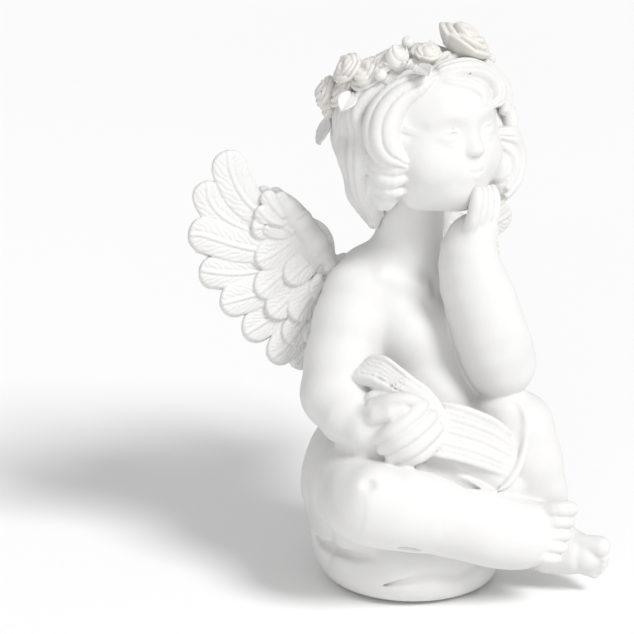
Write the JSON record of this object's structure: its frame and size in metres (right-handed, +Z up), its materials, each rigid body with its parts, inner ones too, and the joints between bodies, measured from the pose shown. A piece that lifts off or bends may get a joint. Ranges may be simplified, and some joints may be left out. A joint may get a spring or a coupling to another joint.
{
  "type": "angel figurine",
  "caption": "White cast-resin figurine of a seated winged child angel with a rose wreath, one hand propping its cheek and gathered cloth on the lap.",
  "frame": {"origin": "middle of the felt pad's lower face, which rests on the shelf", "axes": "+Z up, -Y towards the front of the figure, +X towards the figure's left hand"},
  "size_m": [0.1034, 0.073, 0.1452],
  "materials": {
    "resin": "matte",
    "bloom": "matte",
    "steel": "satin",
    "felt": "matte"
  },
  "bodies": {
    "root": {"body_casting": "resin", "head_casting": "resin", "right_wing": "resin", "left_wing": "resin", "wing_dowels": "steel", "wreath_vine": "resin", "rose_front": "bloom", "rose_side": "bloom", "rose_rear": "bloom", "rosebuds": "bloom", "wreath_leaves": "resin", "wreath_berries": "resin", "base_felt": "felt"}
  },
  "joints": []
}
